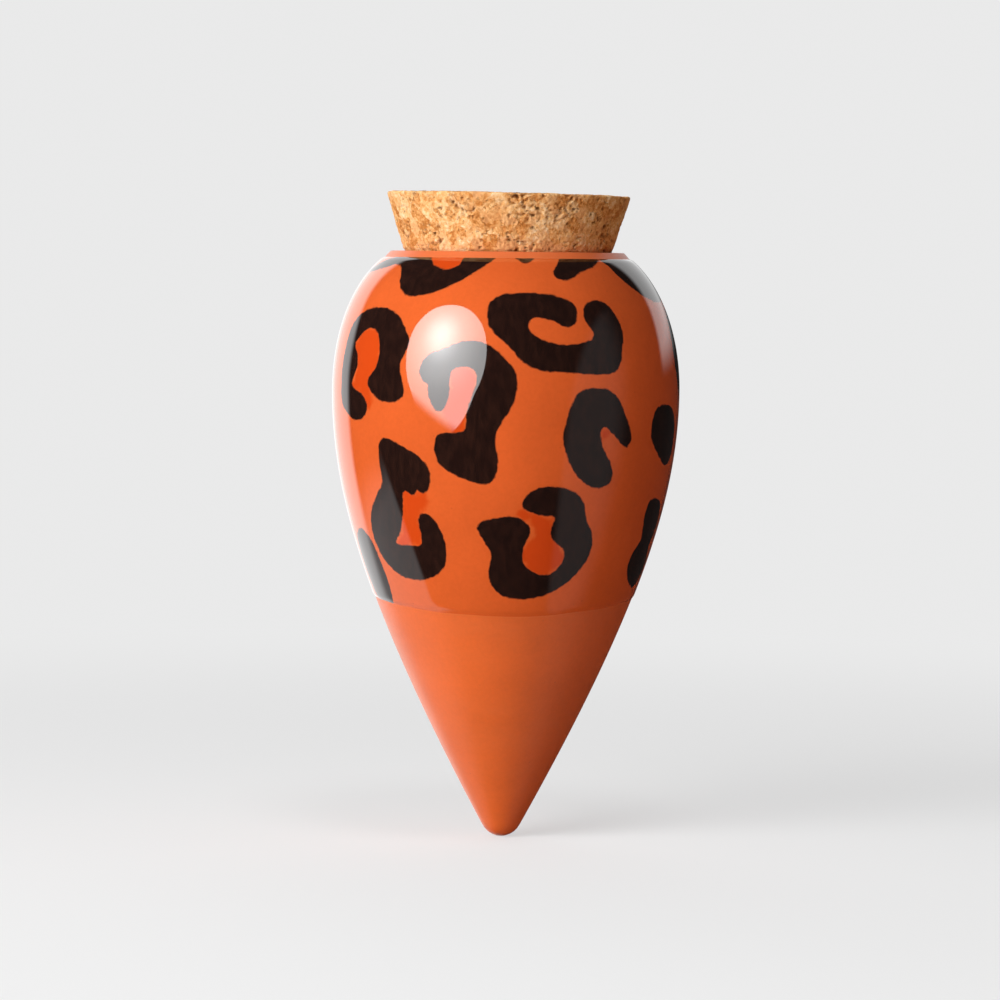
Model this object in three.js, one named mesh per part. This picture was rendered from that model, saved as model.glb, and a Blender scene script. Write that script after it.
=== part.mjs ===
// Irrigation olla: a hollow pointed terracotta vessel with a glazed shoulder and a tapered cork stopper.
// Millimetres, +Z up. The tip of the spike is the origin and the vessel's axis is Z.
import * as THREE from "three";

// Vessel: the clay itself, without the glaze
const BELLY_RADIUS = 43.2; // the widest place
const BELLY_HEIGHT = 112.5; // from the tip up to the widest place
const SHOULDER_HEIGHT = 32.7; // from the widest place up to the bare band
const SHOULDER_RUN = 21.8; // how far the shoulder's ellipse reaches inwards in all
const TIP_RADIUS = 5.3;
const SPIKE_HALF_ANGLE = 28.5; // degrees, where the flank meets the round tip
const BELLY_PULL = 0.23; // share of the belly's height over which the flank leaves it upright
const SPIKE_PULL = 0.56; // share of the belly's height over which it arrives along the spike
const WALL = 4;
const FLOOR_HEIGHT = 13; // solid clay in the spike, under the water

// Rim: a flat land round the mouth, then a bare bevelled band
const LAND_WIDTH = 3.1;
const BAND_WIDTH = 1.4;
const BAND_HEIGHT = 1.6;
const SEAT_SHARE = 0.75; // depth of the cork's seat, as a share of the wall

// Glaze
const GLAZE_LINE = 58; // height of its lower edge
const GLAZE_THICKNESS = 0.25;

// Cork
const CORK_TOP_RADIUS = 30.4;
const CORK_HALF_ANGLE = 17.5; // degrees
const CORK_PROUD = 14.3; // above the rim
const CORK_DEPTH = 9.7; // below the rim
const CORK_EDGE = 0.5; // broken edges, top and bottom
const SEAT_CLEARANCE = 0.15; // between cork and seat, square to the seat

// How finely the curves are cut
const TURN_STEPS = 64;
const SHOULDER_STEPS = 10;
const GLAZED_FLANK_STEPS = 7;
const SPIKE_STEPS = 8;
const TIP_STEPS = 4;
const CAVITY_STEPS = 12;

// Sizes that follow from those above
const corkAngle = THREE.MathUtils.degToRad(CORK_HALF_ANGLE);
const spikeAngle = THREE.MathUtils.degToRad(SPIKE_HALF_ANGLE);
const corkSlope = Math.tan(corkAngle);
const bandFoot = BELLY_HEIGHT + SHOULDER_HEIGHT;
const rimHeight = bandFoot + BAND_HEIGHT;
const corkTop = rimHeight + CORK_PROUD;
const corkBottom = rimHeight - CORK_DEPTH;
const corkRadiusAt = (height) => CORK_TOP_RADIUS - (corkTop - height) * corkSlope;
const mouthRadius = corkRadiusAt(rimHeight) + SEAT_CLEARANCE / Math.cos(corkAngle);
const landRadius = mouthRadius + LAND_WIDTH;
const bandRadius = landRadius + BAND_WIDTH;

const point = (radius, height) => new THREE.Vector2(radius, height);

// The outside of the clay from the band down to the tip, as three curves that meet without a corner
function shoulderCurve() {
  const centreRadius = BELLY_RADIUS - SHOULDER_RUN;
  const bandAngle = Math.acos((bandRadius - centreRadius) / SHOULDER_RUN);
  const rise = SHOULDER_HEIGHT / Math.sin(bandAngle);
  return new THREE.EllipseCurve(centreRadius, BELLY_HEIGHT, SHOULDER_RUN, rise, bandAngle, 0, true);
}

function flankCurve() {
  const belly = point(BELLY_RADIUS, BELLY_HEIGHT);
  const belowBelly = point(BELLY_RADIUS, BELLY_HEIGHT * (1 - BELLY_PULL));
  const tip = point(TIP_RADIUS * Math.cos(spikeAngle), TIP_RADIUS * (1 - Math.sin(spikeAngle)));
  const upTheSpike = point(Math.sin(spikeAngle), Math.cos(spikeAngle));
  const aboveTip = upTheSpike.multiplyScalar(BELLY_HEIGHT * SPIKE_PULL).add(tip);
  return new THREE.CubicBezierCurve(belly, belowBelly, aboveTip, tip);
}

function tipCurve() {
  return new THREE.EllipseCurve(0, TIP_RADIUS, TIP_RADIUS, TIP_RADIUS, -spikeAngle, -Math.PI / 2, true);
}

// A point beside a curve that runs downwards: distance is positive on the outside of the clay
function beside(curve, t, distance) {
  const along = curve.getTangent(t);
  const outward = point(-along.y, along.x);
  return curve.getPoint(t).addScaledVector(outward, distance);
}

// Where a line beside a falling curve passes a height
function shareAtHeight(curve, height, distance) {
  let above = 0;
  let below = 1;
  for (let halving = 0; halving < 40; halving++) {
    const middle = (above + below) / 2;
    if (beside(curve, middle, distance).y > height) above = middle;
    else below = middle;
  }
  return above;
}

// Points along a stretch of a curve, both ends included
function stretch(curve, from, to, steps, distance = 0) {
  const shares = Array.from({ length: steps + 1 }, (_, i) => from + ((to - from) * i) / steps);
  return shares.map((t) => beside(curve, t, distance));
}

// A profile turned about Z
function turned(name, profile, material) {
  const geometry = new THREE.LatheGeometry(profile, TURN_STEPS).rotateX(Math.PI / 2);
  const mesh = new THREE.Mesh(geometry, material);
  mesh.name = name;
  return mesh;
}

const shoulder = shoulderCurve();
const flank = flankCurve();
const glazeShare = shareAtHeight(flank, GLAZE_LINE, 0);

// The glazed stretch of the clay, from the band down to the glaze line
function glazedSkin(distance) {
  const upper = stretch(shoulder, 0, 1, SHOULDER_STEPS, distance);
  const lower = stretch(flank, 0, glazeShare, GLAZED_FLANK_STEPS, distance);
  return [...upper, ...lower.slice(1)];
}

function terracottaBody() {
  const spike = stretch(flank, glazeShare, 1, SPIKE_STEPS).slice(1);
  const tip = stretch(tipCurve(), 0, 1, TIP_STEPS).slice(1, -1);
  const outside = [...glazedSkin(0), ...spike, ...tip, point(0, 0)].reverse();
  const seatDepth = WALL * SEAT_SHARE;
  const rim = [
    point(landRadius, rimHeight),
    point(mouthRadius, rimHeight),
    point(mouthRadius - seatDepth * corkSlope, rimHeight - seatDepth),
  ];
  const floorShare = shareAtHeight(flank, FLOOR_HEIGHT, -WALL);
  const vault = stretch(shoulder, 0, 1, SHOULDER_STEPS, -WALL);
  const cavity = stretch(flank, 0, floorShare, CAVITY_STEPS, -WALL).slice(1);
  const clay = new THREE.MeshStandardMaterial({ color: "#dd6a3c", roughness: 0.85, metalness: 0 });
  const profile = [...outside, ...rim, ...vault, ...cavity, point(0, cavity.at(-1).y)];
  return turned("terracotta_body", profile, clay);
}

function glazeCoat() {
  const inside = glazedSkin(0);
  const outside = glazedSkin(GLAZE_THICKNESS).reverse();
  const glaze = new THREE.MeshStandardMaterial({ color: "#d45f2a", roughness: 0.08, metalness: 0 });
  return turned("glaze_coat", [...outside, ...inside, outside[0]], glaze);
}

function corkStopper() {
  const cork = new THREE.MeshStandardMaterial({ color: "#d8a468", roughness: 0.9, metalness: 0 });
  const profile = [
    point(0, corkBottom),
    point(corkRadiusAt(corkBottom) - CORK_EDGE, corkBottom),
    point(corkRadiusAt(corkBottom + CORK_EDGE), corkBottom + CORK_EDGE),
    point(corkRadiusAt(corkTop - CORK_EDGE), corkTop - CORK_EDGE),
    point(CORK_TOP_RADIUS - CORK_EDGE, corkTop),
    point(0, corkTop),
  ];
  return turned("cork_stopper", profile, cork);
}

const olla = new THREE.Group();
olla.name = "irrigation_olla";
olla.add(terracottaBody(), glazeCoat(), corkStopper());
export default olla;
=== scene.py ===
# Irrigation olla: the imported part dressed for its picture.
# Lengths are in metres, and a length written in millimetres is multiplied by MM. The painter's outlines and
# the cork's relief are worked out in plain millimetres.
import math

import bmesh
import bpy
import numpy as np
from mathutils import Matrix, Vector, noise
from mathutils.geometry import interpolate_bezier


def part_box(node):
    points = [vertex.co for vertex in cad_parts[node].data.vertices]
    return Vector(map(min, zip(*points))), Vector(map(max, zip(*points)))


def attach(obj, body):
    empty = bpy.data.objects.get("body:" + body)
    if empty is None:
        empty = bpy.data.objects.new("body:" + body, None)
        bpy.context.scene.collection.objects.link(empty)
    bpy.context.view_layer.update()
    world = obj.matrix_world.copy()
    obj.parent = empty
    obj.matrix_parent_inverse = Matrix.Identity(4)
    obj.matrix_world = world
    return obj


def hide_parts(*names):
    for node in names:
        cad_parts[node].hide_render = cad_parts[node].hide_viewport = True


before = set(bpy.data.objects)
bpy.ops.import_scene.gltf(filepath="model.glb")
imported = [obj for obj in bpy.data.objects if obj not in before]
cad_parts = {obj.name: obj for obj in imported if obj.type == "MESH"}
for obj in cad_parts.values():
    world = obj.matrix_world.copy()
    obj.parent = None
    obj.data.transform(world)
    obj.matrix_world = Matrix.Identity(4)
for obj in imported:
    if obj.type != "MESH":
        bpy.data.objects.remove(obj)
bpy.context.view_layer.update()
MM = 0.001

# Sizes that the frame gives
_, body_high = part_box("terracotta_body")
glaze_low, glaze_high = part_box("glaze_coat")
cork_low, cork_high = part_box("cork_stopper")
BELLY_RADIUS = body_high.x
RIM_HEIGHT = body_high.z
GLAZE_LINE = glaze_low.z
GLAZE_THICKNESS = glaze_high.x - body_high.x

# The rest of the vessel's line, as in the solid
BELLY_HEIGHT = 112.5 * MM
SHOULDER_RUN = 21.8 * MM
BELLY_PULL = 0.23
SPIKE_PULL = 0.56
SPIKE_ANGLE = math.radians(28.5)
TIP_RADIUS = 5.3 * MM
WALL = 4 * MM
CAVITY_FLOOR = 13 * MM
MOUTH_RADIUS = 26.05 * MM
LAND_RADIUS = 29.15 * MM
BAND_RADIUS = 30.55 * MM
BAND_FOOT = 145.2 * MM
SEAT_DEPTH = 3 * MM
CORK_SLOPE = math.tan(math.radians(17.5))
CORK_EDGE = 0.5 * MM
CORK_LEAN = math.radians(0.75)

# Where the camera stands, as for the photograph, and how bright the plain backdrop is
CAMERA_DISTANCE = 1078 * MM
CAMERA_HEIGHT = 144.9 * MM
CAMERA_SIDE = -1.15 * MM
CAMERA_PITCH = math.radians(3.2)
CAMERA_ROLL = math.radians(0.65)
CAMERA_LENS = 155.0
CAMERA_REACH = 50
BACKDROP_GREY = 0.82

# How finely the lines are cut and turned
TIP_POINTS = 12
FLANK_POINTS = 120
SHOULDER_POINTS = 50
CORNER_POINTS = 5
VESSEL_STEPS = 192
GLAZE_STEPS = 288
CORK_STEPS = 624
SAME_PLACE = 0.002 * MM
SHARP_ANGLE = math.radians(50)

# The cork's surface in plain mm: sizes of its grains and patches, and how deep each kind of hollow goes
GRANULE_SIZE = 3.2
CRUMB_SIZE = 0.95
CRUMB_SQUASH = 1.4
TORN_SIZE = 1.35
WEAR_SIZE = 5.5
WARP_SIZE = 1.6
WARP = 0.5
UNEVEN_DEPTH = 0.06
TORN_DEPTH = 0.56
SEAM_DEPTH = 0.2
CRUMB_SEAM_DEPTH = 0.1
PIT_DEPTH = 0.4
CREVICE_DEPTH = 0.29
SWELL_ABOVE_RIM = 0.24
SWELL_START = 0.1  # below the rim
SWELL_REACH = 0.5
SEAM_SHARE = 0.16  # of a granule's size
CRUMB_SEAM_SHARE = 0.25  # of a crumb's size
CRUMBS_KEPT = 0.985  # share of the crumbs that have not fallen out
CRUMBS_WORN_OUT = 0.045  # further share that has, where the wear is full
CREVICE_FADE = 0.3
GRAIN_SEED = 3  # the warp's noise would else start from the clock

# The lamps: degrees to the right of the camera's side, degrees up, metres away, metres across, watts, colour
WHITE = (1.0, 1.0, 1.0)
LAMPS = {
    "key_softbox": (-41.9, 15.6, 1.2, 1.25, 13.8, WHITE),
    "left_wash": (-75, -4, 1.0, 0.3, 1.85, (0.95, 1.03, 1.22)),
    "right_fill": (65, -10, 1.0, 0.3, 0.9, (1.0, 0.36, 0.09)),
    "top_wash": (10, 65, 1.0, 0.3, 2.2, WHITE),
}
KEY_HOT_SPOT = (0.43, 0.655, 0)  # across and along the key lamp's face, as shares of it
KEY_CUT = (0.28, 0.96, 0)  # the way in from the edge of that face that is cut off

# The painter's rosettes, unrolled from the belly: mm to the right of the front line, and mm above the tip
ROSETTES = {
    "rim_sweep": [
        (-65.7, 141.1), (-59.7, 141.4), (-53.7, 142), (-48.2, 142.6), (-43.2, 143.4), (-40, 143.3),
        (-37.7, 142.5), (-36.1, 141.1), (-33.9, 138.3), (-30, 136), (-25.5, 136), (-19.4, 137.4),
        (-13.4, 139.9), (-8.4, 142.8), (-4.3, 145.5), (-14.2, 145.5), (-15.6, 143.4), (-19.7, 142.2),
        (-24.7, 143.2), (-29.7, 145.5), (-41.7, 145.7), (-47.7, 145.1), (-53.7, 144.1), (-59.7, 142.8),
        (-65.7, 141.9),
    ],
    "rim_tick": [(2.8, 145.7), (4.3, 144.5), (6.3, 144.1), (8.3, 144.9), (9.8, 145.7)],
    "rim_leaf": [
        (14.4, 141.9), (15.1, 140.6), (17.1, 140.1), (19.6, 140.5), (22.6, 141.7), (26.6, 142.7),
        (30.6, 143.7), (34.6, 145.7), (20.6, 145.7), (17.1, 144.2),
    ],
    "shoulder_strip": [
        (38, 145.8), (37.2, 143.3), (39.3, 140.5), (43, 138), (48, 136), (54, 134.9), (61, 135), (67, 137),
        (70.5, 141), (71, 145.8),
    ],
    "left_arch": [
        (-50.1, 128.7), (-45.6, 131.7), (-40.1, 132.7), (-35.1, 132.5), (-30.7, 130.9), (-27.5, 127.8),
        (-25.7, 124.2), (-27.8, 119.7), (-27.2, 116.2), (-26.1, 112.5), (-28.1, 110.5), (-31.1, 110),
        (-35.1, 111), (-38.6, 114.7), (-35.6, 118.2), (-34.9, 122.2), (-36.6, 126.5), (-40.1, 127.9),
        (-43.6, 126.5), (-46.1, 123.7), (-44.1, 121.2), (-43.6, 118.2), (-45.6, 113.7), (-41.1, 111.7),
        (-38.9, 109.2), (-39.8, 106.5), (-43.6, 105.2), (-48.1, 106.7), (-51.6, 109.7), (-52.1, 115.7),
        (-51.6, 123.7),
    ],
    "centre_hook": [
        (-21.8, 118.2), (-20, 121.4), (-15.2, 123.3), (-11.7, 124.8), (-7.7, 125.1), (-4, 124),
        (-0.4, 121), (2.1, 117.9), (2.6, 114.3), (1.5, 109.8), (-0.8, 106.2), (-2.5, 102.7),
        (-2.2, 98.8), (-1.9, 95.3), (-3, 91.8), (-5.7, 90.8), (-10.7, 92.1), (-15.7, 94.6), (-17.5, 97.3),
        (-17.7, 100.8), (-16.5, 102.6), (-12.7, 103), (-9.7, 103.8), (-9.4, 107.8), (-8.2, 111.8),
        (-7, 115.8), (-8.2, 118.6), (-11.7, 119), (-13.7, 117.3), (-13.9, 112.3), (-15.2, 108.8),
        (-16.9, 108.2), (-18.5, 110.4), (-19.4, 112.8), (-19.5, 114.6), (-20.9, 115.6),
    ],
    "upper_crescent": [
        (-5, 132.4), (-4, 134.9), (0, 136.5), (7, 136.8), (13.5, 136.1), (17.7, 134.7), (18.9, 132.1),
        (17.6, 129.3), (15, 128.9), (12, 130.3), (8, 131.1), (5.6, 130.1), (5.6, 127.9), (9, 125.5),
        (14, 124.4), (19.5, 124.8), (22.8, 126.1), (22.8, 127.7), (21, 130.7), (21.5, 133.8),
        (25, 135.1), (28.5, 134.4), (31.3, 130.9), (32.2, 126.9), (31, 122.9), (30.3, 120.2), (28, 117.9),
        (22, 117.5), (14, 117.9), (7.9, 118.5), (4.2, 120.3), (1.4, 123.4), (-1.8, 126.1), (-4.4, 129),
    ],
    "right_arch": [
        (19.3, 113.5), (22.6, 114), (26.1, 113.5), (28.7, 112), (31.3, 108.2), (33.1, 105), (34.3, 102.2),
        (33.5, 99.9), (31.9, 99.9), (28.8, 102.4), (26.5, 104.2), (25.1, 104.6), (24.2, 103), (25.6, 99),
        (27.9, 96), (29.1, 92.8), (28.1, 90.7), (25.1, 89.8), (22.1, 90.5), (19.1, 92.5), (16.6, 95.7),
        (14.7, 100), (14.6, 104), (15.9, 109), (17.5, 112.2),
    ],
    "left_crescent": [
        (-34.8, 99.4), (-33.1, 101), (-30.3, 100.7), (-25.8, 98.7), (-22.3, 96.9), (-20.1, 94.6),
        (-19.5, 91.4), (-20.8, 88.4), (-22, 88.1), (-23.5, 88.9), (-25, 87.6), (-27.8, 88.5),
        (-28.7, 85.9), (-29.4, 82.2), (-31.3, 78.2), (-33.8, 75.3), (-29.8, 74.9), (-25.2, 74.9),
        (-23.9, 76.9), (-24.3, 80.2), (-23.6, 82.6), (-21.3, 82.9), (-18.8, 80.6), (-17.2, 77.2),
        (-16.9, 73.4), (-18.2, 69.9), (-21.8, 67.6), (-26.8, 66.5), (-31.8, 66.6), (-36.8, 68.1),
        (-41.1, 71.1), (-43, 74.4), (-43.6, 77.9), (-41.8, 82.7), (-37.5, 87.3), (-35, 90.2),
        (-35.1, 94.9),
    ],
    "low_crescent": [
        (-7.3, 79.8), (-6.2, 81.3), (-3.3, 82.2), (0.7, 82.7), (4.2, 82.3), (6.5, 80.4), (6.8, 78.4),
        (5.4, 75.6), (5.1, 72.3), (6.7, 70.1), (9.7, 68.6), (12.7, 68.2), (15.7, 69.5), (17.5, 72.1),
        (17.2, 74.6), (14.2, 76.8), (12.7, 79.1), (13.6, 82.1), (12.7, 83.2), (9.7, 83.2), (5.7, 84.6),
        (4.5, 85.8), (5.7, 88.1), (9.2, 90), (14.2, 90), (18.2, 88.8), (21.2, 86.1), (22.7, 82.1),
        (25, 78.8), (26, 75.3), (24.8, 71.4), (21.7, 68), (17.2, 65), (12.2, 63.2), (6.2, 62.4),
        (0.7, 62.9), (-2.8, 64.8), (-4.5, 67.8), (-4.1, 70.8), (-3.6, 73.5), (-5.3, 76.3),
    ],
    "right_patch": [
        (42.5, 105.5), (44, 108.5), (47.5, 109.5), (52.5, 109), (56.5, 106), (58, 101), (56.5, 96),
        (52.5, 94.6), (48.5, 96.5), (45, 99), (42.5, 102),
    ],
    "right_low_patch": [
        (47.5, 86), (46, 83), (47, 78.5), (47.5, 76), (45, 73), (44.1, 70), (46, 67), (49.5, 65),
        (53.5, 64), (57.5, 65.5), (59.5, 70), (56.5, 74), (58.5, 79), (56.5, 84), (52.5, 86),
    ],
    "left_low_patch": [
        (-51.5, 78), (-47.5, 76.8), (-45.1, 74.2), (-43.8, 71), (-42.8, 67.5), (-42.5, 64), (-43.3, 60.5),
        (-46.5, 58.5), (-52.5, 58.5), (-56.5, 62), (-58.5, 68), (-57.5, 75),
    ],
}

# Orange that the painter dabbed inside some rosettes, in the same measure
DABS = {
    "rim_sweep": [
        (-31.7, 146.7), (-28.7, 144.2), (-24.7, 141.7), (-19.7, 140.7), (-14.7, 142.2), (-13.2, 146.7),
    ],
    "left_arch": [
        (-47.6, 123.7), (-44.1, 127.7), (-40.1, 129), (-35.6, 127.2), (-33.9, 122.2), (-34.6, 117.2),
        (-37.1, 113.5), (-36.1, 109.7), (-37.6, 107), (-39.7, 108.5), (-42.1, 111.2), (-46.6, 112.7),
        (-44.6, 118.2),
    ],
    "centre_hook": [
        (-14.9, 112.8), (-14.7, 117.8), (-11.7, 120.1), (-7.7, 119.6), (-6, 115.8), (-7.2, 111.3),
        (-8.7, 106.8), (-9, 102.8), (-12.2, 102.1), (-15.7, 105.3), (-16.2, 108.8),
    ],
    "right_arch": [
        (23.5, 103.2), (24.7, 105.4), (26.7, 104.9), (27.5, 102.8), (26.3, 101.2), (24.7, 101),
    ],
    "left_crescent": [
        (-29.3, 89.4), (-24.8, 88.7), (-21.3, 88.9), (-20.6, 85.9), (-22.4, 82.9), (-23.3, 79.9),
        (-23, 75.9), (-24.8, 73.9), (-34.8, 74.2), (-32.1, 78.4), (-30.4, 82.9),
    ],
    "low_crescent": [
        (4.2, 72.8), (5.7, 69.6), (9.2, 67.6), (13.2, 67.3), (16.7, 69), (18.5, 72.3), (17.8, 75.2),
        (14.7, 77.6), (13.7, 79.8), (14.4, 82.8), (9.7, 84.2), (5.7, 85.8), (2.7, 84.8), (3.2, 82.4),
        (6.7, 80.3), (7.5, 78.2), (5.2, 75.8),
    ],
}

# Rosettes on the sides and back, which the photograph doesn't show: the same strokes turned round the axis
# (degrees), lifted (mm) and, where the last value is -1, brushed the other way round
REPEATS = [
    ("rim_sweep", 183, 0, -1), ("rim_tick", 175, 0, 1), ("rim_leaf", 173, 0, 1),
    ("shoulder_strip", 172, 0, 1), ("left_arch", 177, -4, 1), ("centre_hook", 177, 2, -1),
    ("upper_crescent", 186, -1, 1), ("right_arch", 184, -1, -1), ("left_crescent", 174, 1, -1),
    ("low_crescent", 184, -1, -1), ("right_patch", 178, 0, 1), ("right_low_patch", 174, 3, 1),
    ("left_low_patch", 176, 2, 1), ("right_arch", 57, 19, 1), ("left_low_patch", 166, 23, 1),
    ("right_arch", -127, 15, 1), ("right_patch", -162, -12, 1),
]


# Lines of the vessel, as rows of radius and height from the tip upwards
def vessel_skin():
    """The outside of the clay: round tip, flank and shoulder, up to the foot of the bare band."""
    turns = np.linspace(-math.pi / 2, -SPIKE_ANGLE, TIP_POINTS)
    tip = [Vector((TIP_RADIUS * math.cos(a), TIP_RADIUS * (1 + math.sin(a)), 0)) for a in turns]
    up_the_spike = Vector((math.sin(SPIKE_ANGLE), math.cos(SPIKE_ANGLE), 0))
    above_tip = tip[-1] + up_the_spike * BELLY_HEIGHT * SPIKE_PULL
    below_belly = Vector((BELLY_RADIUS, BELLY_HEIGHT * (1 - BELLY_PULL), 0))
    belly = Vector((BELLY_RADIUS, BELLY_HEIGHT, 0))
    flank = interpolate_bezier(tip[-1], above_tip, below_belly, belly, FLANK_POINTS)
    centre = BELLY_RADIUS - SHOULDER_RUN
    band_turn = math.acos((BAND_RADIUS - centre) / SHOULDER_RUN)
    rise = (BAND_FOOT - BELLY_HEIGHT) / math.sin(band_turn)
    turns = np.linspace(0, band_turn, SHOULDER_POINTS)[1:]
    radii = centre + SHOULDER_RUN * np.cos(turns)
    heights = BELLY_HEIGHT + rise * np.sin(turns)
    shoulder = [Vector((radius, height, 0)) for radius, height in zip(radii, heights)]
    return np.array([p.xy for p in tip + flank[1:] + shoulder])


def beside(line, distance):
    """A line moved outwards by a distance, which may differ from point to point."""
    along = np.gradient(line, axis=0)
    along /= np.linalg.norm(along, axis=1)[:, None]
    outward = np.column_stack((along[:, 1], -along[:, 0]))
    return line + outward * np.reshape(distance, (-1, 1))


def evenly(line, spacing):
    """The same line with its points about one spacing apart."""
    lengths = np.concatenate(([0], np.cumsum(np.linalg.norm(np.diff(line, axis=0), axis=1))))
    places = np.linspace(0, lengths[-1], max(2, round(lengths[-1] / spacing)))
    return np.column_stack([np.interp(places, lengths, line[:, k]) for k in (0, 1)])


def soft_corners(corners, reach):
    """A line through corners, each inner one rounded off over a short reach."""
    roundness = 0.55
    points = [Vector((r, z, 0)) for r, z in corners]
    line = [points[0]]
    for before, corner, after in zip(points, points[1:], points[2:]):
        start = corner + (before - corner).normalized() * reach
        end = corner + (after - corner).normalized() * reach
        pulls = start.lerp(corner, roundness), end.lerp(corner, roundness)
        line += interpolate_bezier(start, *pulls, end, CORNER_POINTS)
    return np.array([p.xy for p in line + [points[-1]]])


SKIN = vessel_skin()


def skin_radius(height):
    """The clay's outer radius at a height."""
    return np.interp(height, SKIN[:, 1], SKIN[:, 0])


# Modelling helpers
def turned(profile, steps, closed=False):
    """A bmesh turned about Z from rows of radius and height."""
    bm = bmesh.new()
    line = [bm.verts.new((r, 0, z)) for r, z in profile]
    edges = [bm.edges.new(pair) for pair in zip(line, line[1:])]
    if closed:
        edges.append(bm.edges.new((line[-1], line[0])))
    bmesh.ops.spin(
        bm, geom=line + edges, cent=(0, 0, 0), axis=(0, 0, 1), angle=math.tau, steps=steps, use_merge=True
    )
    bmesh.ops.remove_doubles(bm, verts=bm.verts, dist=SAME_PLACE)
    bmesh.ops.recalc_face_normals(bm, faces=bm.faces)
    return bm


def piece(name, bm, material, body, node):
    """A finished piece of the object, standing for a CAD node."""
    mesh = bpy.data.meshes.new(name)
    bm.to_mesh(mesh)
    bm.free()
    mesh.shade_smooth()
    mesh.set_sharp_from_angle(angle=SHARP_ANGLE)
    mesh.materials.append(material)
    made = bpy.data.objects.new(name, mesh)
    bpy.context.scene.collection.objects.link(made)
    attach(made, body)
    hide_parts(node)
    return made


def note(made, name, values):
    """Keeps one value per vertex on a piece for its material to read."""
    attribute = made.data.attributes.new(name, "FLOAT", "POINT")
    attribute.data.foreach_set("value", np.asarray(values, np.float32))


def vertex_places(made):
    """Where a piece's vertices lie, one row each."""
    places = np.empty(len(made.data.vertices) * 3)
    made.data.vertices.foreach_get("co", places)
    return places.reshape(-1, 3)


# Shader helpers
def new_material(name):
    material = bpy.data.materials.new(name)
    material.use_nodes = True
    tree = material.node_tree
    return material, tree, tree.nodes["Principled BSDF"]


def put(tree, kind, inputs=None, **settings):
    """A node with its settings, and its inputs set or linked by name or number."""
    made = tree.nodes.new(kind)
    for name, value in settings.items():
        setattr(made, name, value)
    for name, value in (inputs or {}).items():
        if isinstance(value, bpy.types.NodeSocket):
            tree.links.new(value, made.inputs[name])
        else:
            made.inputs[name].default_value = value
    return made


def maths(tree, operation, a, b=0.0):
    return put(tree, "ShaderNodeMath", {0: a, 1: b}, operation=operation).outputs[0]


def times(tree, a, b):
    return maths(tree, "MULTIPLY", a, b)


def vector_maths(tree, operation, a, b=(0, 0, 0)):
    return put(tree, "ShaderNodeVectorMath", {0: a, 1: b}, operation=operation)


def spread(tree, value, low, high, to_low=0.0, to_high=1.0):
    """A value's range low to high stretched smoothly over another range."""
    inputs = {"Value": value, "From Min": low, "From Max": high, "To Min": to_low, "To Max": to_high}
    return put(tree, "ShaderNodeMapRange", inputs, interpolation_type="SMOOTHSTEP").outputs["Result"]


def blend(tree, share, a, b):
    """Two colours mixed: all a where share is 0, all b where it is 1."""
    made = put(tree, "ShaderNodeMix", data_type="RGBA")
    for name, value in (("Factor_Float", share), ("A_Color", a), ("B_Color", b)):
        socket = next(s for s in made.inputs if s.identifier == name)
        if isinstance(value, bpy.types.NodeSocket):
            tree.links.new(value, socket)
        else:
            socket.default_value = value
    return next(s for s in made.outputs if s.identifier == "Result_Color")


def object_place(tree):
    return put(tree, "ShaderNodeTexCoord").outputs["Object"]


def cloud(tree, place, size, detail=3.0, roughness=0.5):
    """Soft noise whose blotches are about one size across."""
    inputs = {"Vector": place, "Scale": 1 / size, "Detail": detail, "Roughness": roughness}
    return put(tree, "ShaderNodeTexNoise", inputs).outputs["Fac"]


def noted(tree, name):
    """The value that note() kept under a name."""
    return put(tree, "ShaderNodeAttribute", attribute_name=name).outputs["Fac"]


def rgb(red, green, blue):
    return (red, green, blue, 1.0)


# Colours, as linear shares of red, green and blue
CLAY = rgb(0.705, 0.114, 0.011)
SPONGED_CLAY = rgb(0.76, 0.147, 0.028)
# Paler clay for the rim band: a painted sheen from the light above, on the same clay
RIM_SHEEN_CLAY = rgb(0.66, 0.148, 0.046)
GLAZED_CLAY = rgb(0.64, 0.106, 0.021)
CLAY_SPECK = rgb(0.30, 0.055, 0.02)
DAB_ORANGE = rgb(0.55, 0.048, 0.003)
WASHED_BLACK = rgb(0.16, 0.035, 0.012)
THICK_BLACK = rgb(0.012, 0.0042, 0.003)
THIN_BLACK = rgb(0.022, 0.0075, 0.0048)
CORK_TANS = {
    0.0: rgb(0.33, 0.105, 0.02),
    0.25: rgb(0.6, 0.232, 0.06),
    0.5: rgb(0.8, 0.425, 0.16),
    0.75: rgb(0.92, 0.63, 0.35),
    1.0: rgb(0.97, 0.8, 0.56),
}
ROSY_CORK = rgb(0.85, 0.47, 0.22)
BARK_FLECK = rgb(0.20, 0.07, 0.02)
CORK_CRACK = rgb(0.16, 0.055, 0.016)
# Painted shade for the cork's crevices and pits, darker the deeper they are hollowed
CORK_CREVICE_SHADE = rgb(0.24, 0.08, 0.022)
CORK_PIT_SHADE = rgb(0.11, 0.034, 0.009)
FLOOR_BOUNCE = rgb(0.58, 0.5, 0.42)
FLOOR_SHADED = rgb(0.34, 0.34, 0.34)
FLOOR_LIFT = rgb(0.55, 0.55, 0.55)
BACKDROP = rgb(BACKDROP_GREY, BACKDROP_GREY, BACKDROP_GREY)


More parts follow.
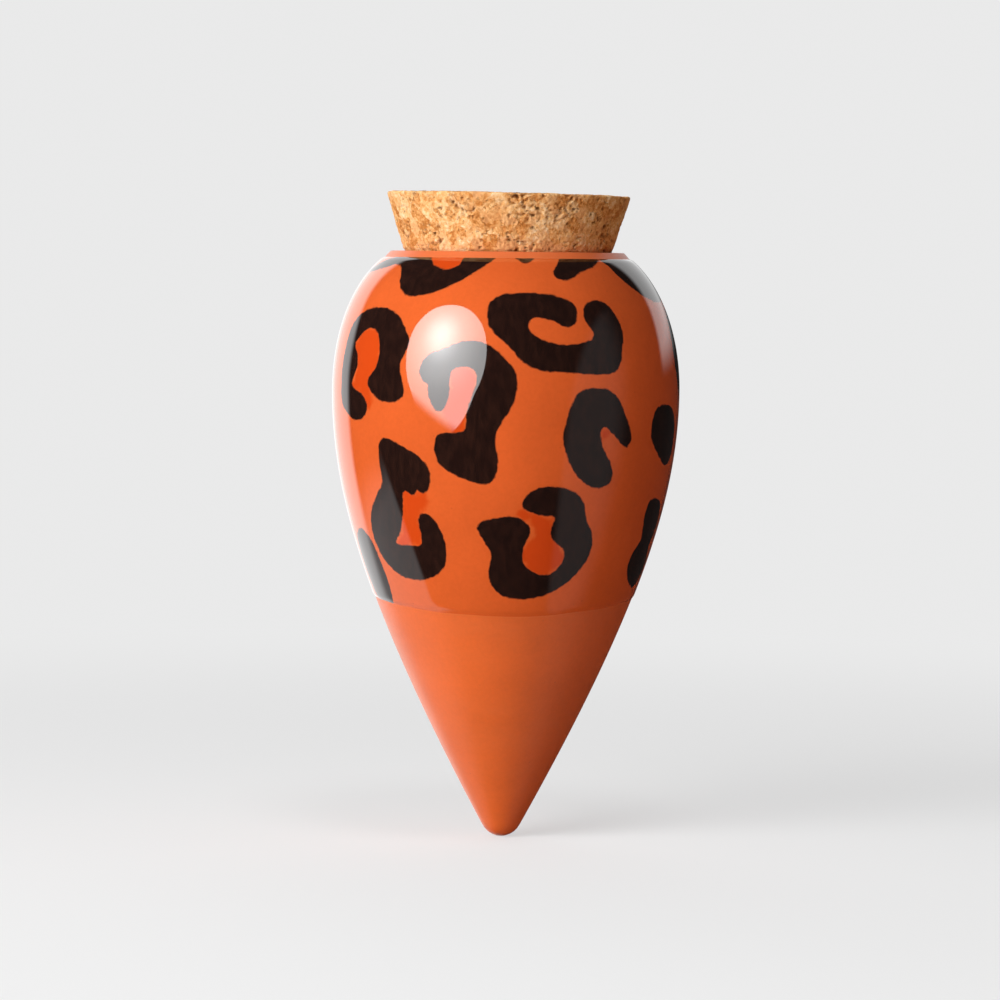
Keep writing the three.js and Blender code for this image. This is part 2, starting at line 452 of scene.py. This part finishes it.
def fired_clay_group():
    """Fired clay as both the bare and the glazed surface show it: a mottled colour and a fine grain."""
    tree = bpy.data.node_groups.new("fired_clay", "ShaderNodeTree")
    tree.interface.new_socket("Tone", in_out="INPUT", socket_type="NodeSocketColor")
    tree.interface.new_socket("Mottle", in_out="INPUT", socket_type="NodeSocketFloat")
    tree.interface.new_socket("Color", in_out="OUTPUT", socket_type="NodeSocketColor")
    tree.interface.new_socket("Grain", in_out="OUTPUT", socket_type="NodeSocketFloat")
    given = put(tree, "NodeGroupInput")
    result = put(tree, "NodeGroupOutput")
    place = object_place(tree)
    broad = spread(tree, cloud(tree, place, 22 * MM, 4.0), 0.3, 0.7, -1.0, 1.0)
    fine = spread(tree, cloud(tree, place, 1.1 * MM, 5.0, 0.65), 0.3, 0.7, -0.6, 0.6)
    shift = times(tree, maths(tree, "ADD", broad, fine), given.outputs["Mottle"])
    level = maths(tree, "ADD", shift, 1.0)
    toned = vector_maths(tree, "SCALE", given.outputs["Tone"])
    tree.links.new(level, toned.inputs["Scale"])
    specks = put(tree, "ShaderNodeTexVoronoi", {"Vector": place, "Scale": 1 / (2.6 * MM)})
    dot = spread(tree, specks.outputs["Distance"], 0.05, 0.11, 1.0, 0.0)
    few = spread(tree, cloud(tree, place, 5 * MM, 1.0), 0.56, 0.62)
    speck = times(tree, times(tree, dot, few), 0.35)
    tree.links.new(blend(tree, speck, toned.outputs[0], CLAY_SPECK), result.inputs["Color"])
    grain = cloud(tree, place, 0.45 * MM, 4.0, 0.7)
    tree.links.new(grain, result.inputs["Grain"])
    return tree


FIRED_CLAY = fired_clay_group()
CLAY_MOTTLE = 0.05


def fired_clay(tree, tone, mottle):
    group = put(tree, "ShaderNodeGroup", node_tree=FIRED_CLAY)
    group.inputs["Tone"].default_value = tone
    group.inputs["Mottle"].default_value = mottle
    return group.outputs["Color"], group.outputs["Grain"]


def bare_clay():
    """Unglazed terracotta: dry and smooth, a little paler where it was sponged, and paler on the rim band as
    painted sheen.
    """
    material, tree, shader = new_material("bare_clay")
    color, grain = fired_clay(tree, CLAY, CLAY_MOTTLE)
    place = object_place(tree)
    sponge = put(tree, "ShaderNodeMapping", {"Vector": place, "Scale": (1, 1, 5)}).outputs[0]
    streak = spread(tree, cloud(tree, sponge, 26 * MM, 3.0), 0.45, 0.75, 0.0, 0.22)
    color = blend(tree, streak, color, SPONGED_CLAY)
    height = put(tree, "ShaderNodeSeparateXYZ", {0: place}).outputs["Z"]
    # Painted sheen: the upward-facing rim band is blended towards a paler clay
    rim = spread(tree, height, BAND_FOOT - 0.5 * MM, BAND_FOOT + 0.2 * MM, 0.0, 0.8)
    tree.links.new(blend(tree, rim, color, RIM_SHEEN_CLAY), shader.inputs["Base Color"])
    tree.links.new(spread(tree, grain, 0.3, 0.7, 0.36, 0.44), shader.inputs["Roughness"])
    shader.inputs["Specular IOR Level"].default_value = 1.0
    bump = put(tree, "ShaderNodeBump", {"Height": grain, "Strength": 0.25, "Distance": 0.08 * MM})
    tree.links.new(bump.outputs[0], shader.inputs["Normal"])
    return material


def painted_glaze():
    """Clear gloss glaze over the clay, the painter's orange dabs and the black rosettes."""
    material, tree, shader = new_material("painted_glaze")
    place = object_place(tree)
    clay, _ = fired_clay(tree, GLAZED_CLAY, CLAY_MOTTLE)
    brush = cloud(tree, place, 3.5 * MM, 3.0)
    dab_edge = maths(tree, "ADD", noted(tree, "dab"), spread(tree, brush, 0.2, 0.8, -1.2, 1.2))
    dab = spread(tree, dab_edge, -0.2, 1.8, 0.0, 0.85)
    ground = blend(tree, dab, clay, DAB_ORANGE)
    wobble = spread(tree, cloud(tree, place, 1.6 * MM, 4.0), 0.25, 0.75, -0.16, 0.16)
    stroke = maths(tree, "ADD", noted(tree, "rosette"), wobble)
    wash = spread(tree, stroke, -0.32, -0.08, 0.0, 0.8)
    ground = blend(tree, wash, ground, WASHED_BLACK)
    streaks = put(tree, "ShaderNodeMapping", {"Vector": place, "Scale": (1, 1, 0.35)}).outputs[0]
    thin = spread(tree, cloud(tree, streaks, 1.3 * MM, 4.0), 0.35, 0.75)
    black = blend(tree, thin, THICK_BLACK, THIN_BLACK)
    solid = spread(tree, stroke, -0.12, 0.1)
    tree.links.new(blend(tree, solid, ground, black), shader.inputs["Base Color"])
    shader.inputs["Roughness"].default_value = 0.6
    shader.inputs["Specular IOR Level"].default_value = 0.0
    shader.inputs["Coat Weight"].default_value = 1.0
    shader.inputs["Coat Roughness"].default_value = 0.03
    shader.inputs["Coat IOR"].default_value = 1.8
    return material


def pressed_cork():
    """Cork granules pressed with a binder: each has its own tan, with dark bark flecks and cracks, and
    painted shade in its crevices and pits.
    """
    material, tree, shader = new_material("pressed_cork")
    place = object_place(tree)
    jitter = put(tree, "ShaderNodeTexNoise", {"Vector": place, "Scale": 1 / (1.6 * MM), "Detail": 2.0})
    shove = vector_maths(tree, "SCALE", jitter.outputs["Color"])
    shove.inputs["Scale"].default_value = 2.2 * MM
    ragged = vector_maths(tree, "ADD", place, shove.outputs[0]).outputs[0]
    cells = {"Vector": ragged, "Scale": 1 / (3.4 * MM)}
    granules = put(tree, "ShaderNodeTexVoronoi", cells)
    edges = put(tree, "ShaderNodeTexVoronoi", cells, feature="DISTANCE_TO_EDGE")
    chips = put(tree, "ShaderNodeTexVoronoi", {"Vector": ragged, "Scale": 1 / (1.2 * MM)})
    traits = put(tree, "ShaderNodeSeparateColor", {0: granules.outputs["Color"]})
    own, rosy = traits.outputs["Red"], traits.outputs["Green"]
    chip = put(tree, "ShaderNodeSeparateColor", {0: chips.outputs["Color"]}).outputs["Red"]
    broad = spread(tree, cloud(tree, place, 5 * MM, 2.0), 0.3, 0.7, 0.0, 0.14)
    fine = cloud(tree, place, 0.85 * MM, 4.0, 0.7)
    tone = maths(tree, "ADD", times(tree, own, 0.33), times(tree, chip, 0.22))
    tone = maths(tree, "ADD", maths(tree, "ADD", tone, broad), spread(tree, fine, 0.25, 0.75, -0.11, 0.31))
    ramp = put(tree, "ShaderNodeValToRGB", {"Fac": tone})
    stops = ramp.color_ramp.elements
    stops[0].color = CORK_TANS[0.0]
    stops[1].color = CORK_TANS[1.0]
    for position in (0.25, 0.5, 0.75):
        stops.new(position).color = CORK_TANS[position]
    flecks = put(tree, "ShaderNodeTexVoronoi", {"Vector": ragged, "Scale": 1 / (1.1 * MM)})
    dot = spread(tree, flecks.outputs["Distance"], 0.12, 0.28, 1.0, 0.0)
    some = spread(tree, cloud(tree, place, 2.6 * MM, 2.0), 0.56, 0.64)
    fleck = times(tree, times(tree, dot, some), 0.75)
    broken = spread(tree, cloud(tree, place, 1.9 * MM, 3.0), 0.52, 0.66, 0.0, 0.6)
    crack = times(tree, spread(tree, edges.outputs["Distance"], 0.06, 0.0), broken)
    blush = spread(tree, rosy, 0.5, 0.95, 0.0, 0.5)
    color = blend(tree, blush, ramp.outputs["Color"], ROSY_CORK)
    color = blend(tree, fleck, color, BARK_FLECK)
    color = blend(tree, crack, color, CORK_CRACK)
    # Painted shade in the crevices and pits, as noted on the vertices
    color = blend(tree, noted(tree, "crevice_shade"), color, CORK_CREVICE_SHADE)
    color = blend(tree, noted(tree, "pit"), color, CORK_PIT_SHADE)
    tree.links.new(color, shader.inputs["Base Color"])
    shader.inputs["Roughness"].default_value = 0.85
    shader.inputs["Specular IOR Level"].default_value = 0.03
    bump = put(tree, "ShaderNodeBump", {"Height": fine, "Strength": 1.0, "Distance": 0.5 * MM})
    tree.links.new(bump.outputs[0], shader.inputs["Normal"])
    return material


# The vessel
def make_vessel():
    """The clay body, with its rounded rim edges, the cork's seat and the hollow inside."""
    spacing = 1.2 * MM
    corner_reach = 0.35 * MM
    seat_radius = MOUTH_RADIUS - SEAT_DEPTH * CORK_SLOPE
    inside = beside(SKIN, -WALL)
    inside = inside[inside[:, 1] > CAVITY_FLOOR][::-1]
    rim = [SKIN[-1], (LAND_RADIUS, RIM_HEIGHT), (MOUTH_RADIUS, RIM_HEIGHT)]
    rim += [(seat_radius, RIM_HEIGHT - SEAT_DEPTH), inside[0]]
    floor = [(inside[-1][0] * k, CAVITY_FLOOR) for k in (1, 0.5, 0)]
    outside = evenly(SKIN, spacing)
    profile = np.vstack((outside[:-1], soft_corners(rim, corner_reach), inside[1::2], floor))
    bm = turned(profile, VESSEL_STEPS)
    piece("clay_vessel", bm, bare_clay(), "vessel", "terracotta_body")


def make_glaze():
    """The gloss coat, which thins out at both edges and ends in a slightly wandering line."""
    lower_taper = 1.9 * MM
    upper_taper = 0.5 * MM
    wander = 0.3 * MM
    side_lift = 1.0 * MM
    side_wave = 1.4 * MM
    wander_reach = 14 * MM
    wander_length = 26 * MM
    sunk = 0.15 * MM
    edge_height = 3 * MM
    edge_spacing = 0.3 * MM
    spacing = 0.9 * MM
    stretch = SKIN[SKIN[:, 1] >= GLAZE_LINE]
    edge = stretch[:, 1] < GLAZE_LINE + edge_height
    stretch = np.vstack((evenly(stretch[edge], edge_spacing)[:-1], evenly(stretch[~edge], spacing)))
    lengths = np.concatenate(([0], np.cumsum(np.linalg.norm(np.diff(stretch, axis=0), axis=1))))
    share = np.minimum(lengths / lower_taper, (lengths[-1] - lengths) / upper_taper)
    thickness = GLAZE_THICKNESS * np.sin(np.clip(share, 0, 1) * math.pi / 2)
    outside = beside(stretch, thickness)
    inside = beside(stretch, -sunk)[::-3]
    bm = turned(np.vstack((outside, inside)), GLAZE_STEPS, closed=True)
    for vertex in bm.verts:
        x, y, z = vertex.co
        radius = math.hypot(x, y)
        near = max(0.0, 1 - (z - GLAZE_LINE) / wander_reach) ** 2
        wave = side_lift - side_wave * math.cos(2 * math.atan2(x, -y))
        wave += wander * noise.fractal(Vector((x, y, 0)) / wander_length, 0.6, 2.0, 3)
        shift = near * wave
        grown = (radius + skin_radius(z + shift) - skin_radius(z)) / radius
        vertex.co = (x * grown, y * grown, z + shift)
    made = piece("painted_glaze_coat", bm, painted_glaze(), "vessel", "glaze_coat")
    paint(made)


# The painter's work: how deep each place of the glaze lies inside a brush stroke or a dab of orange, in mm
def closed_curve(points, per_span=6):
    """A smooth closed line through given points."""
    here = np.array(points, float)
    before = np.roll(here, 1, 0)
    after = np.roll(here, -1, 0)
    beyond = np.roll(here, -2, 0)
    t = np.linspace(0, 1, per_span, endpoint=False)[:, None, None]
    bend = (2 * before - 5 * here + 4 * after - beyond) * t**2
    twist = (3 * here - before - 3 * after + beyond) * t**3
    spans = here + 0.5 * ((after - before) * t + bend + twist)
    return spans.transpose(1, 0, 2).reshape(-1, 2)


def depth_inside(places, outline):
    """How far each place lies inside a closed outline, and less than 0 outside it."""
    step = np.roll(outline, -1, 0) - outline
    away = places[:, None, :] - outline
    share = np.clip((away * step).sum(2) / (step**2).sum(1), 0, 1)
    nearest = np.linalg.norm(away - share[..., None] * step, axis=2).min(1)
    above = away[..., 1] >= 0
    slope = step[:, 0] / np.where(step[:, 1] == 0, 1e-9, step[:, 1])
    crossed = (above != np.roll(above, -1, 1)) & (away[..., 0] < away[..., 1] * slope)
    return np.where(crossed.sum(1) % 2 == 1, nearest, -nearest)


def painted(outlines):
    """Every outline of a kind, in mm: those of the photograph, then those of the sides and back."""
    for name, turn, lift, way in [(name, 0, 0, 1) for name in ROSETTES] + REPEATS:
        if name in outlines:
            points = np.array(outlines[name], float)
            middle = np.mean(ROSETTES[name], axis=0)[0]
            points[:, 0] = middle + way * (points[:, 0] - middle) + math.radians(turn) * BELLY_RADIUS / MM
            yield points + (0, lift)


def paint(coat):
    """Notes on the coat's vertices how deep each lies in a stroke and in a dab."""
    reach = 7.0
    round_the_belly = math.tau * BELLY_RADIUS / MM
    x, y, z = vertex_places(coat).T
    across = np.arctan2(x, -y) * BELLY_RADIUS / MM
    for kind, outlines in (("rosette", ROSETTES), ("dab", DABS)):
        depth = np.full(len(x), -reach)
        for points in painted(outlines):
            middle = points[:, 0].mean()
            points[:, 0] -= middle
            aside = (across - middle + round_the_belly / 2) % round_the_belly - round_the_belly / 2
            places = np.column_stack((aside, z / MM))
            low, high = points.min(0) - reach, points.max(0) + reach
            near = np.flatnonzero(((places > low) & (places < high)).all(1))
            depth[near] = np.maximum(depth[near], depth_inside(places[near], closed_curve(points)))
        note(coat, kind, depth)


# The stopper
def make_cork():
    """The tapered cork, with rough granules, crevices and crumbled-out pits."""
    side_spacing = 0.3 * MM
    cap_spacing = 0.42 * MM
    under_spacing = 0.8 * MM
    flat = 0.99
    crowded = 0.26 * MM
    foot_radius = cork_high.x - (cork_high.z - CORK_EDGE - cork_low.z) * CORK_SLOPE
    top_radius = cork_high.x + CORK_EDGE * CORK_SLOPE
    corners = [(0, cork_low.z), (foot_radius, cork_low.z), (top_radius, cork_high.z), (0, cork_high.z)]
    side = evenly(soft_corners(corners, CORK_EDGE)[1:-1], side_spacing)
    under = evenly(np.array([corners[0], side[0]]), under_spacing)
    cap = evenly(np.array([side[-1], corners[-1]]), cap_spacing)
    bm = turned(np.vstack((under[:-1], side, cap[1:])), CORK_STEPS)
    bm.normal_update()
    ends = [vertex for vertex in bm.verts if abs(vertex.normal.z) > flat]
    bmesh.ops.remove_doubles(bm, verts=ends, dist=crowded)
    bm.normal_update()
    noise.seed_set(GRAIN_SEED)
    crevices, pits = [], []
    for vertex in bm.verts:
        depth, crevice_shade, pit = cork_relief(vertex.co / MM)
        vertex.co -= vertex.normal * depth * MM
        crevices.append(crevice_shade)
        pits.append(pit)
    lean = Matrix.Rotation(CORK_LEAN, 3, "Y")
    bmesh.ops.rotate(bm, cent=(0, 0, RIM_HEIGHT - SEAT_DEPTH / 2), matrix=lean, verts=bm.verts)
    made = piece("cork_plug", bm, pressed_cork(), "stopper", "cork_stopper")
    # How much painted shade each vertex gets in a crevice and in a pit
    note(made, "crevice_shade", crevices)
    note(made, "pit", pits)


def within_one(value):
    return min(1.0, max(0.0, value))


def cork_relief(place):
    """Depth of the cork's surface in mm at a place in mm, with how much painted shade its crevice and pit
    get.
    """
    swell = SWELL_ABOVE_RIM * within_one((place.z - RIM_HEIGHT / MM + SWELL_START) / SWELL_REACH)
    warped = place + noise.noise_vector(place / WARP_SIZE) * WARP
    near, centres = noise.voronoi(warped / GRANULE_SIZE)
    level = 0.5 + 0.5 * noise.cell(centres[0] * 9.7)
    wear = within_one(0.5 + 1.6 * noise.noise(place / WEAR_SIZE))
    seam = max(0.0, 1 - (near[1] - near[0]) / SEAM_SHARE) * wear
    near, centres = noise.voronoi(Vector((warped.x, warped.y, warped.z * CRUMB_SQUASH)) / CRUMB_SIZE)
    chance = 0.5 + 0.5 * noise.cell(centres[0] * 7.3)
    gap = (near[1] - near[0]) / CRUMB_SEAM_SHARE
    crumb_seam = max(0.0, 1 - gap) * wear
    torn = noise.turbulence(warped / TORN_SIZE, 3, True) * (0.2 + 0.4 * wear + 0.4 * level)
    fallen_out = chance > CRUMBS_KEPT - CRUMBS_WORN_OUT * wear
    pit = min(1.0, gap) if fallen_out else 0.0
    hollow = TORN_DEPTH * torn + SEAM_DEPTH * seam + CRUMB_SEAM_DEPTH * crumb_seam
    depth = UNEVEN_DEPTH * (level + chance) + hollow + PIT_DEPTH * pit - swell
    # Painted shade: the deeper the hollow, the darker its crevice and pit
    crevice_shade = within_one((hollow - CREVICE_DEPTH) / CREVICE_FADE)
    return depth, crevice_shade, pit * (0.4 + 0.6 * level)


# The stage
def make_floor():
    """A plain pale floor that keeps the shadow and runs into the backdrop without a horizon."""
    radius = 6.0
    fade_start = 0.12
    fade_end = 0.6
    bm = bmesh.new()
    bmesh.ops.create_circle(bm, cap_ends=True, radius=radius, segments=96)
    mesh = bpy.data.meshes.new("studio_floor")
    bm.to_mesh(mesh)
    bm.free()
    material, tree, shader = new_material("studio_floor")
    tree.nodes.remove(shader)
    pale = put(tree, "ShaderNodeBsdfDiffuse", {"Color": FLOOR_BOUNCE}).outputs[0]
    shaded = put(tree, "ShaderNodeBsdfDiffuse", {"Color": FLOOR_SHADED}).outputs[0]
    lift = put(tree, "ShaderNodeEmission", {"Color": FLOOR_LIFT}).outputs[0]
    near = put(tree, "ShaderNodeAddShader", {0: shaded, 1: lift}).outputs[0]
    distance = vector_maths(tree, "LENGTH", object_place(tree)).outputs["Value"]
    far = spread(tree, distance, fade_start, fade_end)
    glow = put(tree, "ShaderNodeEmission", {"Color": BACKDROP}).outputs[0]
    seen = put(tree, "ShaderNodeMixShader", {0: far, 1: near, 2: glow}).outputs[0]
    ray = put(tree, "ShaderNodeLightPath").outputs["Is Camera Ray"]
    floor = put(tree, "ShaderNodeMixShader", {0: ray, 1: pale, 2: seen}).outputs[0]
    tree.links.new(floor, tree.nodes["Material Output"].inputs["Surface"])
    mesh.materials.append(material)
    made = bpy.data.objects.new("studio_floor", mesh)
    made.visible_glossy = False
    made.visible_shadow = False
    bpy.context.scene.collection.objects.link(made)


def make_backdrop_light():
    """Plain grey to the camera; to all else a dim studio with a bright screen behind and pale sides."""
    dim_level = 0.02
    world = bpy.data.worlds.new("studio")
    world.use_nodes = True
    bpy.context.scene.world = world
    tree = world.node_tree
    toward = put(tree, "ShaderNodeTexCoord").outputs["Generated"]
    axes = put(tree, "ShaderNodeSeparateXYZ", {0: toward})
    right, back, up = axes.outputs["X"], axes.outputs["Y"], axes.outputs["Z"]
    # The bright screen behind, to the left and high up, with a softer edge further down
    edge_width = spread(tree, up, -0.2, -0.4, 0.045, 0.17)
    past_edge = maths(tree, "SUBTRACT", back, spread(tree, up, 0.1, 0.4, 0.62, 0.675))
    screen = spread(tree, maths(tree, "DIVIDE", past_edge, edge_width), -1.0, 1.0)
    on_left = spread(tree, right, 0.02, -0.1)
    high = spread(tree, up, 0.02, 0.15)
    above_floor = spread(tree, up, -0.62, -0.42, 0.0, 1.5)
    screen = times(tree, times(tree, screen, maths(tree, "MAXIMUM", on_left, high)), above_floor)
    screen = times(tree, screen, spread(tree, right, 0.0, 0.25, 1.0, 0.65))
    # A pale sweep low on the left
    sweep_middle = (-0.418, 0.643, -0.643)
    facing = vector_maths(tree, "DOT_PRODUCT", toward, sweep_middle).outputs["Value"]
    far_left = times(tree, spread(tree, right, -0.5, -0.62), spread(tree, up, -0.94, -0.86))
    off_floor = maths(tree, "MAXIMUM", spread(tree, up, -0.87, -0.73), far_left)
    low_strip = times(tree, spread(tree, up, -0.2, -0.36), off_floor)
    low_left = times(tree, spread(tree, right, 0.1, -0.06), low_strip)
    sweep = times(tree, spread(tree, facing, 0.575, 0.615, 0.0, 0.58), low_left)
    # A faint veil on the right, on the camera's side
    tilted = maths(tree, "SUBTRACT", right, times(tree, up, 0.25))
    in_front = spread(tree, back, 0.05, -0.3)
    veil = times(tree, spread(tree, tilted, 0.66, 0.74, 0.0, 0.14), in_front)
    brightest = maths(tree, "MAXIMUM", veil, maths(tree, "MAXIMUM", screen, sweep))
    level = maths(tree, "ADD", brightest, dim_level)
    ray = put(tree, "ShaderNodeLightPath").outputs["Is Camera Ray"]
    grey = put(tree, "ShaderNodeCombineColor", {0: level, 1: level, 2: level}).outputs[0]
    tree.links.new(blend(tree, ray, grey, BACKDROP), tree.nodes["Background"].inputs["Color"])


def soft_lamp(name, aside, above, distance, size, watts, color):
    """A round area lamp aimed at the belly: degrees to the right of the camera's side, and degrees up."""
    lamp = bpy.data.lights.new(name, "AREA")
    lamp.shape = "DISK"
    lamp.size = size
    lamp.energy = watts
    lamp.color = color
    made = bpy.data.objects.new(name, lamp)
    bpy.context.scene.collection.objects.link(made)
    turn, rise = math.radians(aside), math.radians(above)
    outward = Vector((math.sin(turn) * math.cos(rise), -math.cos(turn) * math.cos(rise), math.sin(rise)))
    made.location = Vector((0, 0, BELLY_HEIGHT)) + outward * distance
    made.rotation_euler = outward.to_track_quat("Z", "Y").to_euler()
    made.visible_camera = False
    return made


def hot_middle(lamp, spot, cut_way):
    """Makes a lamp brighter round a spot on its face, like a bulb behind cloth, and cuts one edge off."""
    lamp.data.use_nodes = True
    tree = lamp.data.node_tree
    face = put(tree, "ShaderNodeNewGeometry").outputs["Parametric"]
    away = vector_maths(tree, "SUBTRACT", face, spot).outputs[0]
    flat = vector_maths(tree, "MULTIPLY", away, (1, 1, 0)).outputs[0]
    distance = vector_maths(tree, "LENGTH", flat).outputs["Value"]
    glow = spread(tree, distance, 0.6, 0.0, 1.0, 2.1)
    core = spread(tree, distance, 0.27, 0.0, 0.0, 1.0)
    slant = vector_maths(tree, "DOT_PRODUCT", face, cut_way).outputs["Value"]
    cut = spread(tree, slant, 0.175, 0.25)
    level = times(tree, maths(tree, "ADD", glow, core), cut)
    tree.links.new(level, tree.nodes["Emission"].inputs["Strength"])


def make_camera():
    lens = bpy.data.cameras.new("photo_camera")
    lens.lens = CAMERA_LENS
    lens.clip_end = CAMERA_REACH
    made = bpy.data.objects.new("photo_camera", lens)
    bpy.context.scene.collection.objects.link(made)
    aim = Matrix.Rotation(math.pi / 2 - CAMERA_PITCH, 4, "X") @ Matrix.Rotation(CAMERA_ROLL, 4, "Z")
    made.matrix_world = Matrix.Translation((CAMERA_SIDE, -CAMERA_DISTANCE, CAMERA_HEIGHT)) @ aim
    bpy.context.scene.camera = made


make_camera()
make_floor()
make_backdrop_light()
lamps = {name: soft_lamp(name, *settings) for name, settings in LAMPS.items()}
hot_middle(lamps["key_softbox"], KEY_HOT_SPOT, KEY_CUT)
for name in ("left_wash", "right_fill", "top_wash"):
    lamps[name].visible_glossy = False
make_vessel()
make_glaze()
make_cork()

bpy.context.scene.view_settings.view_transform = "Standard"
